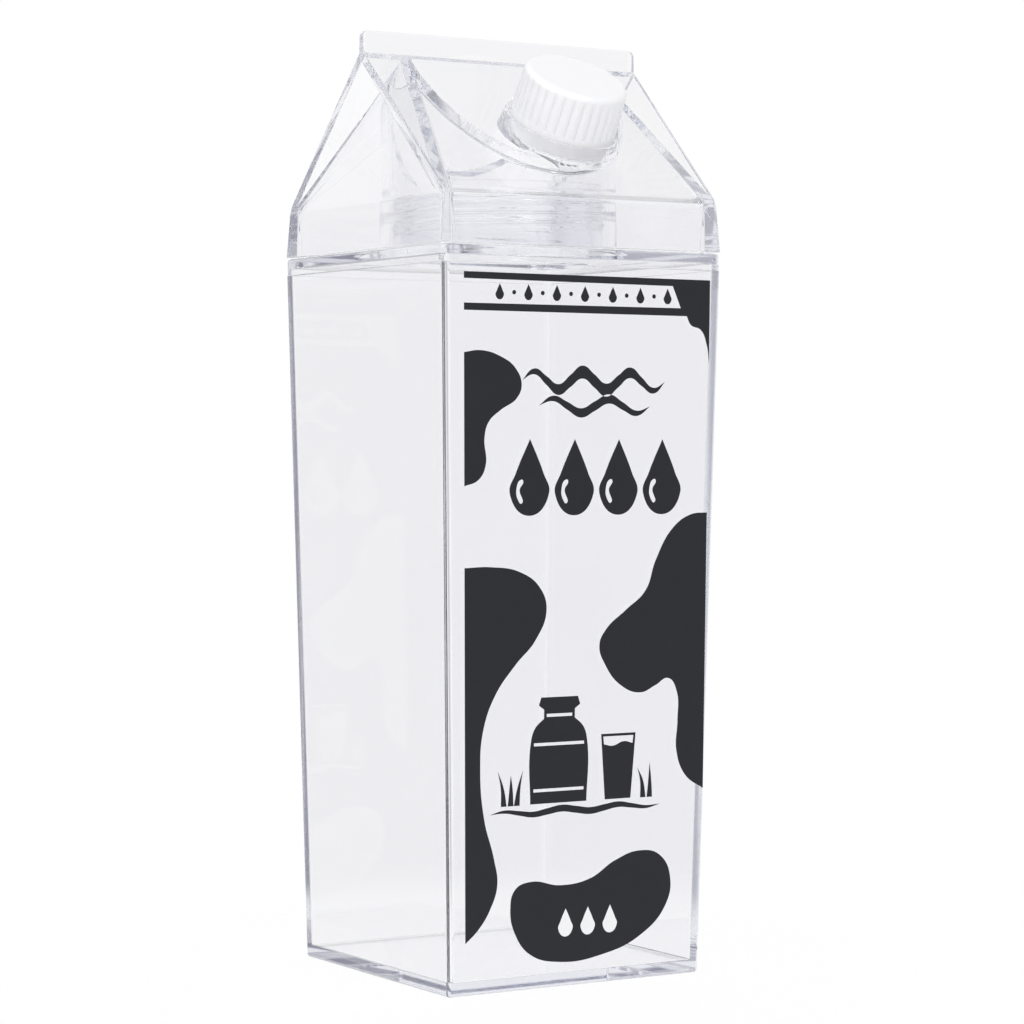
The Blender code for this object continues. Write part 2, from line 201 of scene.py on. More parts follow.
class BottleShape(bpy.types.PropertyGroup):
    wall: FloatProperty(
        name="Box wall", description="Thickness of the four walls of the box",
        default=1.7 * MM, min=1.0 * MM, max=4.0 * MM, **LENGTH,
    )
    skirt: FloatProperty(
        name="Lid wall", description="Thickness of the upright walls of the lid",
        default=2.3 * MM, min=1.0 * MM, max=4.0 * MM, **LENGTH,
    )
    floor: FloatProperty(
        name="Floor", description="Thickness of the floor",
        default=3.0 * MM, min=1.0 * MM, max=6.0 * MM, **LENGTH,
    )
    roof: FloatProperty(
        name="Roof", description="Thickness of the two slopes of the lid",
        default=2.4 * MM, min=1.0 * MM, max=4.0 * MM, **LENGTH,
    )
    gusset: FloatProperty(
        name="End walls", description="Thickness of the two leaning end walls of the lid",
        default=2.2 * MM, min=1.0 * MM, max=4.0 * MM, **LENGTH,
    )
    corner: FloatProperty(
        name="Corner radius", description="Rounding of the upright edges outside",
        default=1.0 * MM, min=0.3 * MM, max=4.0 * MM, **LENGTH,
    )
    fillet: FloatProperty(
        name="Fillet radius", description="Rounding of the upright edges inside",
        default=0.6 * MM, min=0.3 * MM, max=4.0 * MM, **LENGTH,
    )
    foot: FloatProperty(
        name="Foot radius", description="Rounding of the edge that the bottle stands on",
        default=0.9 * MM, min=0.2 * MM, max=3.0 * MM, **LENGTH,
    )
    rim_corner: FloatProperty(
        name="Rim corner", description="Rounding of the rim's upright edges",
        default=2.2 * MM, min=0.3 * MM, max=4.0 * MM, **LENGTH,
    )
    rim_edge: FloatProperty(
        name="Rim edge", description="Rounding along the rim's upper edge",
        default=0.6 * MM, min=0.1 * MM, max=1.5 * MM, **LENGTH,
    )
    eave: FloatProperty(
        name="Eave radius", description="Outer bend between the lid's skirt and its slopes",
        default=4.0 * MM, min=2.5 * MM, max=8.0 * MM, **LENGTH,
    )
    edge: FloatProperty(
        name="Edge radius", description="Rounding of the moulded edges of the lid",
        default=0.35 * MM, min=0.1 * MM, max=0.8 * MM, **LENGTH,
    )
    steps: IntProperty(
        name="Steps", description="Facets round the neck, the tube and the spout",
        default=320, min=48, max=512,
    )


class CapShape(bpy.types.PropertyGroup):
    radius: FloatProperty(
        name="Radius", description="Outer radius at the top edge",
        default=12.2 * MM, min=8 * MM, max=14 * MM, **LENGTH,
    )
    low_radius: FloatProperty(
        name="Low radius", description="Outer radius at the lower edge",
        default=12.7 * MM, min=8 * MM, max=14 * MM, **LENGTH,
    )
    ribs: IntProperty(
        name="Ribs", description="Number of grip ribs", default=32, min=12, max=60,
    )
    rib_depth: FloatProperty(
        name="Rib depth", description="How deep the grooves between the ribs are",
        default=0.5 * MM, min=0.1 * MM, max=0.8 * MM, **LENGTH,
    )


class BottleFinish(bpy.types.PropertyGroup):
    clear: StringProperty(
        name="Clear plastic", description="Tint of one wall, sRGB hex", default="#FDFDFE",
    )
    depth: StringProperty(
        name="Depth colour", description="Colour that long ways through it take", default="#909BBF",
    )
    density: FloatProperty(
        name="Depth density", description="Absorption for each metre", default=3.0, min=0.0,
    )
    cap: StringProperty(name="Cap", description="Colour of the cap, sRGB hex", default="#F3F3F5")
    ink: StringProperty(
        name="Ink", description="Colour of the dark ink, sRGB hex", default="#1E1F23",
    )
    white_ink: StringProperty(
        name="White ink", description="Colour of the white ink, sRGB hex", default="#F4F4F5",
    )


class BottleStudio(bpy.types.PropertyGroup):
    floor: StringProperty(name="Floor", description="Colour of the floor", default="#FEFEFE")
    backdrop: FloatProperty(
        name="Backdrop", description="Strength of the white surroundings", default=1.0, min=0.0,
    )
    ceiling: FloatProperty(
        name="Ceiling", description="Strength of the light ceiling", default=0.6, min=0.0,
    )
    shade: StringProperty(
        name="Shade", description="Colour of the darkest part of the room, sRGB hex",
        default="#5E5B78",
    )
    lens: FloatProperty(
        name="Lens", description="Focal length on a 36 mm wide sensor", default=110.45,
        min=20.0, max=300.0, subtype="DISTANCE_CAMERA",
    )


def add_node(tree, kind, settings=None, values=None, links=None):
    """Adds one node. links maps its inputs to earlier nodes, or to one of their outputs."""
    node = tree.nodes.new(kind)
    for key, value in (settings or {}).items():
        setattr(node, key, value)
    for key, value in (values or {}).items():
        node.inputs[key].default_value = value
    for key, source in (links or {}).items():
        if isinstance(source, bpy.types.Node):
            source = source.outputs[0]
        tree.links.new(source, node.inputs[key])
    return node


def new_material(name):
    """Empty node tree of a new material, and the Object coordinates in it."""
    material = bpy.data.materials.new(name)
    material.use_nodes = True
    tree = material.node_tree
    tree.nodes.clear()
    return tree, add_node(tree, "ShaderNodeTexCoord").outputs["Object"]


def output(tree, surface, volume=None):
    links = {"Surface": surface}
    if volume is not None:
        links["Volume"] = volume
    add_node(tree, "ShaderNodeOutputMaterial", links=links)


def moulded_styrene(finish):
    """Clear styrene, injection moulded: hard polish, faint flow waves, lavender in its depth."""
    tree, place = new_material("moulded_clear_styrene")
    # flow waves about 28 mm apart bend what is seen through the walls a little
    flow = add_node(tree, "ShaderNodeTexNoise", values={"Scale": 36.0, "Detail": 1.0},
                    links={"Vector": place})
    wave = add_node(tree, "ShaderNodeBump", values={"Strength": 0.5, "Distance": 0.05 * MM},
                    links={"Height": flow})
    # handling haze in patches of about 9 mm
    haze = add_node(tree, "ShaderNodeTexNoise", values={"Scale": 110.0, "Detail": 3.0},
                    links={"Vector": place})
    rough = add_node(tree, "ShaderNodeMapRange", values={"To Min": 0.012, "To Max": 0.04},
                     links={"Value": haze})
    shader = add_node(
        tree, "ShaderNodeBsdfPrincipled",
        values={"Base Color": linear(finish.clear), "Transmission Weight": 1.0, "IOR": 1.53},
        links={"Roughness": rough, "Normal": wave},
    )
    open_side = add_node(tree, "ShaderNodeBsdfTransparent", values={"Color": linear(finish.clear)})
    path = add_node(tree, "ShaderNodeLightPath")
    mixed = add_node(tree, "ShaderNodeMixShader", links={
        0: path.outputs["Is Shadow Ray"], 1: shader, 2: open_side,
    })
    depth = add_node(
        tree, "ShaderNodeVolumeAbsorption",
        values={"Color": linear(finish.depth), "Density": finish.density},
    )
    output(tree, mixed, depth)


def moulded_polypropylene(finish):
    """White polypropylene, injection moulded: satin, waxy, light sinks in a little."""
    tree, place = new_material("moulded_white_polypropylene")
    # spark-eroded mould grain; the real one is near 0.1 mm and is drawn at 0.3 mm to show
    grain = add_node(tree, "ShaderNodeTexNoise", values={"Scale": 3300.0, "Detail": 2.0},
                     links={"Vector": place})
    bump = add_node(tree, "ShaderNodeBump", values={"Strength": 0.25, "Distance": 0.02 * MM},
                    links={"Height": grain})
    # rubbed spots of about 4 mm
    rub = add_node(tree, "ShaderNodeTexNoise", values={"Scale": 260.0, "Detail": 3.0},
                   links={"Vector": place})
    rough = add_node(tree, "ShaderNodeMapRange", values={"To Min": 0.32, "To Max": 0.46},
                     links={"Value": rub})
    shader = add_node(
        tree, "ShaderNodeBsdfPrincipled",
        values={
            "Base Color": linear(finish.cap), "IOR": 1.49, "Subsurface Weight": 0.25,
            "Subsurface Radius": (1.0, 0.95, 0.9), "Subsurface Scale": 1.2 * MM,
        },
        links={"Roughness": rough, "Normal": bump},
    )
    output(tree, shader)


def screen_ink(name, colour, spread):
    """Opaque screen ink: thin, nearly matt, its tone slightly uneven from the squeegee."""
    tree, place = new_material(name)
    # uneven coat in spots of about 2.4 mm
    mottle = add_node(tree, "ShaderNodeTexNoise", values={"Scale": 420.0, "Detail": 4.0},
                      links={"Vector": place})
    # mesh marks of the screen, 0.12 mm apart on the real one, drawn 0.4 mm apart
    mesh = add_node(tree, "ShaderNodeTexNoise", values={"Scale": 2500.0, "Detail": 1.0},
                    links={"Vector": place})
    base = linear(colour)[:3]
    darker = (*[c * (1 - spread) for c in base], 1.0)
    lighter = (*[min(1.0, c * (1 + spread)) for c in base], 1.0)
    tone = add_node(tree, "ShaderNodeMix", settings={"data_type": "RGBA"},
                    values={6: darker, 7: lighter}, links={"Factor": mottle})
    bump = add_node(tree, "ShaderNodeBump", values={"Strength": 0.15, "Distance": 0.01 * MM},
                    links={"Height": mesh})
    rough = add_node(tree, "ShaderNodeMapRange", values={"To Min": 0.4, "To Max": 0.52},
                     links={"Value": mottle})
    shader = add_node(
        tree, "ShaderNodeBsdfPrincipled", values={"IOR": 1.5, "Specular IOR Level": 0.35},
        links={"Base Color": tone.outputs[2], "Roughness": rough, "Normal": bump},
    )
    output(tree, shader)


def studio_floor(studio):
    """Pale painted board that glows a little, so it stays as light as the surroundings."""
    tree, place = new_material("pale_studio_floor")
    paint = add_node(tree, "ShaderNodeBsdfDiffuse", values={"Color": linear(studio.floor)})
    glow = add_node(tree, "ShaderNodeEmission",
                    values={"Color": linear(studio.floor), "Strength": FLOOR_GLOW})
    board = add_node(tree, "ShaderNodeMixShader", values={0: FLOOR_GLOW_SHARE},
                     links={1: paint, 2: glow})
    distance = add_node(tree, "ShaderNodeVectorMath", settings={"operation": "LENGTH"},
                        links={0: place})
    fade = add_node(tree, "ShaderNodeMapRange", settings={"interpolation_type": "SMOOTHSTEP"},
                    values={"From Min": FLOOR_FADE[0], "From Max": FLOOR_FADE[1]},
                    links={"Value": distance.outputs["Value"]})
    gone = add_node(tree, "ShaderNodeBsdfTransparent")
    mixed = add_node(tree, "ShaderNodeMixShader", links={0: fade, 1: board, 2: gone})
    output(tree, mixed)


def bevel(bm, edges, radius, segments):
    bmesh.ops.bevel(
        bm, geom=edges, offset=radius, segments=segments, profile=0.5,
        affect="EDGES", material=-1,
    )


def outward(bm):
    bmesh.ops.remove_doubles(bm, verts=bm.verts, dist=DOUBLE)
    bm.normal_update()
    bmesh.ops.recalc_face_normals(bm, faces=bm.faces)
    return bm


def upright(edge):
    low, high = edge.verts
    return abs(low.co.z - high.co.z) > edge.calc_length() / 2


def level(edge, z):
    return all(abs(v.co.z - z) < SAME for v in edge.verts)


def tapered_cube(bm, half_low, half_high, z_low, z_high):
    """Square block in bm, wider or narrower at its top. Returns its vertices."""
    verts = bmesh.ops.create_cube(bm, size=2.0)["verts"]
    for vert in verts:
        high = vert.co.z > 0
        half = half_high if high else half_low
        vert.co = (vert.co.x * half, vert.co.y * half, z_high if high else z_low)
    return verts


def upright_edges(bm, verts=None):
    """The upright edges of bm, or of some of its vertices."""
    return [e for e in bm.edges if upright(e) and (verts is None or e.verts[0] in verts)]


def edges_at(bm, z):
    return [e for e in bm.edges if level(e, z)]


def box_half(z):
    return (BASE_SIDE + (SEAM_SIDE - BASE_SIDE) * z / SEAM_Z) / 2


def turned(profile, steps, ring=False):
    """Solid turned round Z from (radius, height) points that start and end on the axis.

    With ring the points go all round a section that stands clear of the axis.
    """
    bm = bmesh.new()
    verts = [bm.verts.new((radius, 0, z)) for radius, z in profile]
    first = 0 if ring else 1
    edges = [bm.edges.new((verts[i - 1], verts[i])) for i in range(first, len(verts))]
    bmesh.ops.spin(
        bm, geom=verts + edges, cent=(0, 0, 0), axis=(0, 0, 1), angle=math.tau,
        steps=steps, use_merge=True,
    )
    return outward(bm)


def arc(centre_r, centre_z, radius, start, end, count=4):
    """Points of a quarter round in a turned profile, angles in degrees from outwards, up."""
    turns = (math.radians(start + (end - start) * i / count) for i in range(count + 1))
    return [(centre_r + radius * math.cos(a), centre_z + radius * math.sin(a)) for a in turns]


def rows(radius, z_from, z_to, spacing):
    """Points up or down a straight wall, close enough together to carry a thread."""
    count = math.ceil(abs(z_to - z_from) / spacing)
    return [(radius, z_from + (z_to - z_from) * i / count) for i in range(count + 1)]


def raise_thread(bm, wall, crest, start_z, width):
    """Draws a round-topped screw ridge out of the wall of that radius."""
    for vert in bm.verts:
        radius = vert.co.xy.length
        if abs(radius - wall) > SAME:
            continue
        part = math.atan2(vert.co.y, vert.co.x) / math.tau % 1.0
        height = 0.0
        while part < THREAD_TURNS:
            off = abs(vert.co.z - start_z - THREAD_PITCH * part) / (width / 2)
            if off < 1:
                run_out = min(1.0, min(part, THREAD_TURNS - part) / THREAD_RUN_OUT)
                height = (crest - wall) * run_out * (1 + math.cos(math.pi * off)) / 2
            part += 1.0
        vert.co.xy *= (wall + height) / radius


def new_object(name, data):
    obj = bpy.data.objects.new(name, data)
    bpy.context.scene.collection.objects.link(obj)
    return obj


def shape_object(name, bm, place=None):
    mesh = bpy.data.meshes.new(name)
    bm.to_mesh(mesh)
    bm.free()
    if place is not None:
        mesh.transform(place)
    return new_object(name, mesh)


def solved_bmesh(obj):
    """Mesh of an object with its modifiers or its fill worked out."""
    solved = obj.evaluated_get(bpy.context.evaluated_depsgraph_get())
    bm = bmesh.new()
    bm.from_mesh(solved.to_mesh())
    solved.to_mesh_clear()
    return bm


def discard(obj):
    mesh = obj.data
    bpy.data.objects.remove(obj)
    bpy.data.meshes.remove(mesh)


def combined(bm, steps):
    """Boolean steps on bm, each (tool bmesh, operation, place). Returns a new bmesh.

    The solver merges what is closer than its tolerance, so it works in millimetres.
    """
    target = shape_object("work", bm)
    target.data.transform(Matrix.Scale(1 / MM, 4))
    tools = []
    for tool_bm, operation, place in steps:
        tool = shape_object(f"tool_{len(tools)}", tool_bm, place)
        tool.data.transform(Matrix.Scale(1 / MM, 4))
        modifier = target.modifiers.new(tool.name, "BOOLEAN")
        modifier.operation = operation
        modifier.solver = "MANIFOLD"
        modifier.object = tool
        tools.append(tool)
    result = solved_bmesh(target)
    for obj in (target, *tools):
        discard(obj)
    bmesh.ops.scale(result, vec=(MM, MM, MM), verts=result.verts)
    result.normal_update()
    return result


def add_piece(name, bm, material, node, sharp=50.0):
    """Finishes a piece: soft shading, flat faces kept flat, and its place on the frame."""
    bmesh.ops.triangulate(bm, faces=[f for f in bm.faces if len(f.verts) > 4])
    obj = shape_object(name, bm)
    mesh = obj.data
    mesh.shade_smooth()
    mesh.set_sharp_from_angle(angle=math.radians(sharp))
    mesh.materials.append(bpy.data.materials[material])
    weights = obj.modifiers.new("flat_faces_stay_flat", "WEIGHTED_NORMAL")
    weights.keep_sharp = True
    weights.weight = 80
    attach(obj, BODY)
    if node:
        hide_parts(node)


class BOTTLE_OT_box(bpy.types.Operator):
    """Build the tapered square box, open at its top"""

    bl_idname = "bottle.box"
    bl_label = "Box"

    @staticmethod
    def inside(face, shape):
        """Whether a face lies on the inner skin."""
        centre = face.calc_center_median()
        reach = box_half(centre.z) - shape.wall / 2
        return centre.z > shape.floor / 2 and max(abs(centre.x), abs(centre.y)) < reach

    def execute(self, context):
        shape = context.scene.bottle_shape
        top = SEAM_Z - RIM_HEIGHT + WELD
        bm = bmesh.new()
        outer = tapered_cube(bm, box_half(0), box_half(top), 0, top)
        inner = tapered_cube(
            bm, box_half(shape.floor) - shape.wall, box_half(top) - shape.wall, shape.floor, top,
        )
        inner_edges = upright_edges(bm, inner)
        bevel(bm, upright_edges(bm, outer), shape.corner, segments=8)
        bevel(bm, inner_edges, shape.fillet, segments=8)
        bevel(bm, edges_at(bm, 0), shape.foot, segments=5)
        bevel(bm, edges_at(bm, shape.floor), HEEL, segments=4)
        lids = [f for f in bm.faces if all(level(e, top) for e in f.edges)]
        bmesh.ops.delete(bm, geom=lids, context="FACES_ONLY")
        bmesh.ops.reverse_faces(bm, faces=[f for f in bm.faces if self.inside(f, shape)])
        bmesh.ops.bridge_loops(bm, edges=[e for e in bm.edges if e.is_boundary])
        add_piece("box_shell", outward(bm), "moulded_clear_styrene", "bottle_box")
        return {"FINISHED"}


class BOTTLE_OT_neck_plate(bpy.types.Operator):
    """Build the rim plate that closes the box, with its wide threaded neck"""

    bl_idname = "bottle.neck_plate"
    bl_label = "Neck plate"

    def execute(self, context):
        shape = context.scene.bottle_shape
        low, half = SEAM_Z - RIM_HEIGHT, PLATE_HIGH.x
        plate_low = SEAM_Z - PLATE
        rim = bmesh.new()
        tapered_cube(rim, half, half, low, SEAM_Z)
        bevel(rim, upright_edges(rim), shape.rim_corner, segments=8)
        bevel(rim, edges_at(rim, SEAM_Z), shape.rim_edge, segments=4)
        bevel(rim, edges_at(rim, low), RIM_OVERHANG, segments=3)

        recess = bmesh.new()
        inner = box_half(low) - shape.wall
        tapered_cube(recess, inner, inner, low - FAR, plate_low)
        bevel(recess, upright_edges(recess), shape.fillet, segments=8)
        bevel(recess, edges_at(recess, plate_low), RECESS_ROUND, segments=4)

        foot_z, lip_z = SEAM_Z + NECK_FOOT - NECK_FOOT_BITE, PLATE_HIGH.z - NECK_LIP
        foot_radius, mouth_radius = NECK_ROOT + NECK_FOOT, NECK_BORE + NECK_LIP
        sunk_z = SEAM_Z - PLATE / 2
        neck = turned(
            [(0, sunk_z), (foot_radius, sunk_z)]
            + arc(foot_radius, foot_z, NECK_FOOT, 270, 180, count=5)
            + rows(NECK_ROOT, foot_z, lip_z, THREAD_ROW)[1:-1]
            + arc(NECK_ROOT - NECK_LIP, lip_z, NECK_LIP, 0, 90, count=5)
            + [(0, PLATE_HIGH.z)],
            shape.steps,
        )
        raise_thread(neck, NECK_ROOT, NECK_CREST, THREAD_START_Z, NECK_THREAD_WIDTH)
        bore = turned(
            [(0, low - FAR), (NECK_BORE, low - FAR)]
            + arc(mouth_radius, lip_z, NECK_LIP, 180, 90, count=5)
            + [(mouth_radius, PLATE_HIGH.z + FAR), (0, PLATE_HIGH.z + FAR)],
            shape.steps,
        )
        bm = combined(outward(rim), [
            (outward(recess), "DIFFERENCE", None), (neck, "UNION", None),
            (bore, "DIFFERENCE", None),
        ])
        add_piece("neck_and_rim", bm, "moulded_clear_styrene", "neck_plate")
        return {"FINISHED"}


def roof_height(y, inset):
    return EAVE_Z + (EAVE_HALF - y) * math.tan(ROOF_SLOPE) - inset / math.cos(ROOF_SLOPE)


def gusset_reach(z, inset):
    return EAVE_HALF - (z - EAVE_Z) * math.tan(GUSSET_LEAN) - inset / math.cos(GUSSET_LEAN)


def drawn_up(bm, levels):
    """Draws the top face of a block up through (half x, half y, height) levels."""
    for half_x, half_y, z in levels:
        top = max(bm.faces, key=lambda face: face.calc_center_median().z)
        grown = bmesh.ops.extrude_discrete_faces(bm, faces=[top])["faces"][0]
        was_x = max(v.co.x for v in grown.verts)
        was_y = max(v.co.y for v in grown.verts)
        for vert in grown.verts:
            vert.co = (vert.co.x * half_x / was_x, vert.co.y * half_y / was_y, z)


def bend_eaves(bm, z, radius, segments):
    """Rounds the two long edges at height z where the side turns into the slope."""
    long = [e for e in edges_at(bm, z) if abs(e.verts[0].co.x - e.verts[1].co.x) > EAVE_HALF]
    bevel(bm, long, radius * math.tan((math.pi / 2 - ROOF_SLOPE) / 2), segments)


def gabled_block(shape):
    bm = bmesh.new()
    tapered_cube(bm, LID_HIGH.y, EAVE_HALF, LID_LOW.z, EAVE_Z)
    drawn_up(bm, [
        (RIDGE_HALF_LENGTH, RIDGE_HALF_WIDTH, RIDGE_Z),
        (RIDGE_HALF_LENGTH, FIN_HALF_WIDTH, LID_HIGH.z),
    ])
    short = [e for e in edges_at(bm, LID_HIGH.z) if e.calc_length() < EAVE_HALF]
    bevel(bm, short, FIN_CORNER, segments=6)
    bend_eaves(bm, EAVE_Z, shape.eave, segments=10)
    return bm


def gusset_pocket(side, roof):
    """What is cut away outside an end wall, under the overhanging slopes."""
    bm = bmesh.new()
    eave_y = EAVE_HALF - roof / math.sin(ROOF_SLOPE)
    for vert in bmesh.ops.create_cube(bm, size=2.0)["verts"]:
        high = vert.co.z > 0
        z, half_y = (roof_height(0, roof), 0) if high else (EAVE_Z, eave_y)
        x = EAVE_HALF + FAR if vert.co.x > 0 else gusset_reach(z, 0)
        vert.co = (side * x, vert.co.y * half_y, z)
    return outward(bm)


def lid_room(shape, part):
    """Room under the lid if its walls have this part of their thickness."""
    wall, roof, gusset = shape.skirt * part, shape.roof * part, shape.gusset * part
    bm = bmesh.new()
    skirt = EAVE_HALF - wall
    shoulder_z = roof_height(skirt, roof)
    shoulder_x = min(skirt, gusset_reach(shoulder_z, gusset))
    for vert in bmesh.ops.create_cube(bm, size=2.0)["verts"]:
        high = vert.co.z > 0
        vert.co = (
            vert.co.x * (shoulder_x if high else skirt), vert.co.y * skirt,
            shoulder_z if high else SEAM_Z - FAR / 2,
        )
    bevel(bm, upright_edges(bm), shape.fillet, segments=8)
    ridge_z = RIDGE_Z - RIDGE_ROOF * part
    drawn_up(bm, [(gusset_reach(ridge_z, gusset), RIDGE_ROOM, ridge_z)])
    bend_eaves(bm, shoulder_z, shape.eave - wall, segments=6)
    return bm


def junction(shape):
    """Fillet between tube and roof: a turned ring lifted to the roof, gone behind the ridge."""
    inside, outside = TUBE_OUTER - JUNCTION_ROOT, TUBE_OUTER + JUNCTION
    bm = turned(
        [(inside, JUNCTION_ROOT), (outside, JUNCTION_ROOT)]
        + arc(outside, -JUNCTION, JUNCTION, 90, 180, count=9)
        + [(inside, -JUNCTION)],
        shape.steps, ring=True,
    )
    skirt = EAVE_HALF - shape.skirt
    shoulder_z = roof_height(skirt, shape.roof)
    ridge_z, ridge_y = RIDGE_Z - RIDGE_ROOF, RIDGE_ROOM
    for vert in bm.verts:
        behind = min(1.0, max(0.0, 0.5 + vert.co.y / JUNCTION_CHANGE))
        keep = 1 - JUNCTION_LOSS * behind
        radius = vert.co.xy.length
        if radius > TUBE_OUTER:
            vert.co.xy *= (TUBE_OUTER + (radius - TUBE_OUTER) * keep) / radius
        if vert.co.z < 0:
            vert.co.z *= keep
        y = abs(vert.co.y)
        slope = ridge_z - (ridge_z - shoulder_z) * (y - ridge_y) / (skirt - ridge_y)
        reach = gusset_reach(EAVE_Z, shape.gusset) - abs(vert.co.x)
        vert.co.z += min(slope, EAVE_Z + reach / math.tan(GUSSET_LEAN), ridge_z)
    return outward(bm)


class BOTTLE_OT_gable_lid(bpy.types.Operator):
    """Build the gabled lid with its fin, the threaded tube inside and the spout's collar"""

    bl_idname = "bottle.gable_lid"
    bl_label = "Gable lid"

    @staticmethod
    def under_ridge(edge):
        """The two edges of the narrow room right under the ridge stay sharp."""
        return all(abs(v.co.y) < 2 * RIDGE_ROOM and v.co.z < RIDGE_Z for v in edge.verts)

    def execute(self, context):
        shape = context.scene.bottle_shape
        shell = combined(gabled_block(shape), [
            (gusset_pocket(-1, shape.roof), "DIFFERENCE", None),
            (gusset_pocket(1, shape.roof), "DIFFERENCE", None),
            (lid_room(shape, part=1.0), "DIFFERENCE", None),
        ])
        sharp = [
            e for e in shell.edges
            if e.calc_face_angle(0) > ROUND_ABOVE and not self.under_ridge(e)
        ]
        bevel(shell, [e for e in sharp if not level(e, RIDGE_Z)], shape.edge, segments=3)
        creases = [e for e in edges_at(shell, RIDGE_Z) if e.calc_length() > EAVE_HALF]
        bevel(shell, creases, FIN_CREASE, segments=3)

        # rows of faces reach past the last turn; the tube ends halfway into the lid's walls
        thread_top = THREAD_START_Z + THREAD_PITCH * (THREAD_TURNS + 1.5)
        bore = turned(
            [(0, TUBE_LOW_Z - FAR), (TUBE_BORE, TUBE_LOW_Z - FAR)]
            + rows(TUBE_BORE, TUBE_LOW_Z, thread_top, THREAD_ROW)
            + [(TUBE_BORE, RIDGE_Z + FAR), (0, RIDGE_Z + FAR)], shape.steps,
        )
        raise_thread(bore, TUBE_BORE, TUBE_CREST, THREAD_START_Z + THREAD_PITCH / 2,
                     TUBE_THREAD_WIDTH)
        pipe = combined(
            turned([(0, TUBE_LOW_Z), (TUBE_OUTER, TUBE_LOW_Z), (TUBE_OUTER, RIDGE_Z),
                    (0, RIDGE_Z)], shape.steps),
            [(bore, "DIFFERENCE", None), (lid_room(shape, part=0.5), "INTERSECT", None)],
        )
        lip, round_lip = SPOUT_LIP, (COLLAR_RADIUS - COLLAR_INNER) / 2
        collar = turned(
            [(0, CUP_BOTTOM), (CUP_RADIUS, CUP_BOTTOM)]
            + arc(COLLAR_RADIUS - round_lip, COLLAR_TOP - round_lip, round_lip, 0, 90)
            + [(0, COLLAR_TOP)], shape.steps,
        )
        well = turned(
            [(0, WELL_FLOOR)] + arc(COLLAR_INNER - lip, WELL_FLOOR + lip, lip, 270, 360)
            + arc(COLLAR_INNER + round_lip, COLLAR_TOP - round_lip, round_lip, 180, 90)
            + [(COLLAR_INNER + round_lip, FAR), (0, FAR)], shape.steps,
        )
        sunk = (WELL_FLOOR + CUP_BOTTOM) / 2
        neck = turned(
            [(0, sunk), (SPOUT_ROOT, sunk)]
            + arc(SPOUT_ROOT - lip, SPOUT_TOP - lip, lip, 0, 90) + [(0, SPOUT_TOP)],
            shape.steps,
        )
        bore = turned(
            [(0, 2 * CUP_BOTTOM), (SPOUT_BORE, 2 * CUP_BOTTOM)]
            + arc(SPOUT_BORE + lip, SPOUT_TOP - lip, lip, 180, 90)
            + [(SPOUT_BORE + lip, FAR), (0, FAR)], shape.steps,
        )
        lid = combined(shell, [
            (pipe, "UNION", None), (junction(shape), "UNION", None),
            (collar, "UNION", SPOUT_PLACE), (well, "DIFFERENCE", SPOUT_PLACE),
            (neck, "UNION", SPOUT_PLACE), (bore, "DIFFERENCE", SPOUT_PLACE),
        ])
        add_piece("gable_top", lid, "moulded_clear_styrene", "gable_lid")
        return {"FINISHED"}


class BOTTLE_OT_spout_cap(bpy.types.Operator):
    """Build the ribbed screw cap"""

    bl_idname = "bottle.spout_cap"
    bl_label = "Spout cap"

    def execute(self, context):
        cap = context.scene.bottle_cap
        inner, inner_top = cap.radius - CAP_WALL, CAP_TOP - CAP_ROOF
        shoulder = CAP_TOP - CAP_EDGE
        widening = (cap.low_radius - cap.radius) / (shoulder - CAP_LOW)
        ribbed = shoulder - RIB_LOW
        side = [shoulder - ribbed * i / CAP_ROWS for i in range(1, CAP_ROWS + 1)]
        profile = (
            [(0, CAP_TOP)] + arc(cap.radius - CAP_EDGE, shoulder, CAP_EDGE, 90, 0, count=12)
            + [(cap.radius + widening * (shoulder - z), z) for z in side]
            + arc(cap.low_radius - CAP_LOW_EDGE, CAP_LOW + CAP_LOW_EDGE, CAP_LOW_EDGE, 0, -90)
            + [(inner, CAP_LOW), (inner, inner_top), (0, inner_top)]
        )
        bm = turned(profile, cap.ribs * CAP_FACETS)
        for vert in bm.verts:
            radius, z = vert.co.xy.length, vert.co.z
            if radius < inner + CAP_WALL / 2 or not RIB_LOW - SAME < z < RIB_HIGH:
                continue
            # the grooves run out softly into the top edge and end on a step above the plain band
            up = min(1.0, (RIB_HIGH - z) / RIB_RUN_OUT)
            down = min(1.0, (z - RIB_LOW) / RIB_STEP)
            turn = math.atan2(vert.co.y, vert.co.x)
            rise = abs(math.cos(cap.ribs * turn / 2)) ** RIB_SWELL
            vert.co.xy *= 1 - cap.rib_depth * (1 - rise) * up * down / radius
        bmesh.ops.transform(bm, matrix=SPOUT_PLACE, verts=bm.verts)
        add_piece("ribbed_cap", bm, "moulded_white_polypropylene", "spout_cap")
        return {"FINISHED"}


def print_left(z):
    """X of the left end of the printed field at height z, in mm."""
    (low_x, low_z), (high_x, high_z) = PRINT_LEFT_LOW, PRINT_LEFT_HIGH
    return low_x + (high_x - low_x) * (z - low_z) / (high_z - low_z)


def add_outline(curve, points, shift=(0.0, 0.0), size=1.0):
    """Closed outline in mm. A point with a third member is a corner, the others are smooth."""
    spline = curve.splines.new("BEZIER")
    spline.bezier_points.add(len(points) - 1)
    spline.use_cyclic_u = True
    for point, (x, z, *corner) in zip(spline.bezier_points, points):
        point.co = ((x * size + shift[0]) * MM, (z * size + shift[1]) * MM, 0)
        point.handle_left_type = point.handle_right_type = "VECTOR" if corner else "AUTO"


DROP = ((0, 10, 1), (2.1, 5.6), (3.0, 2.9), (0, 0), (-3.0, 2.9), (-2.1, 5.6))


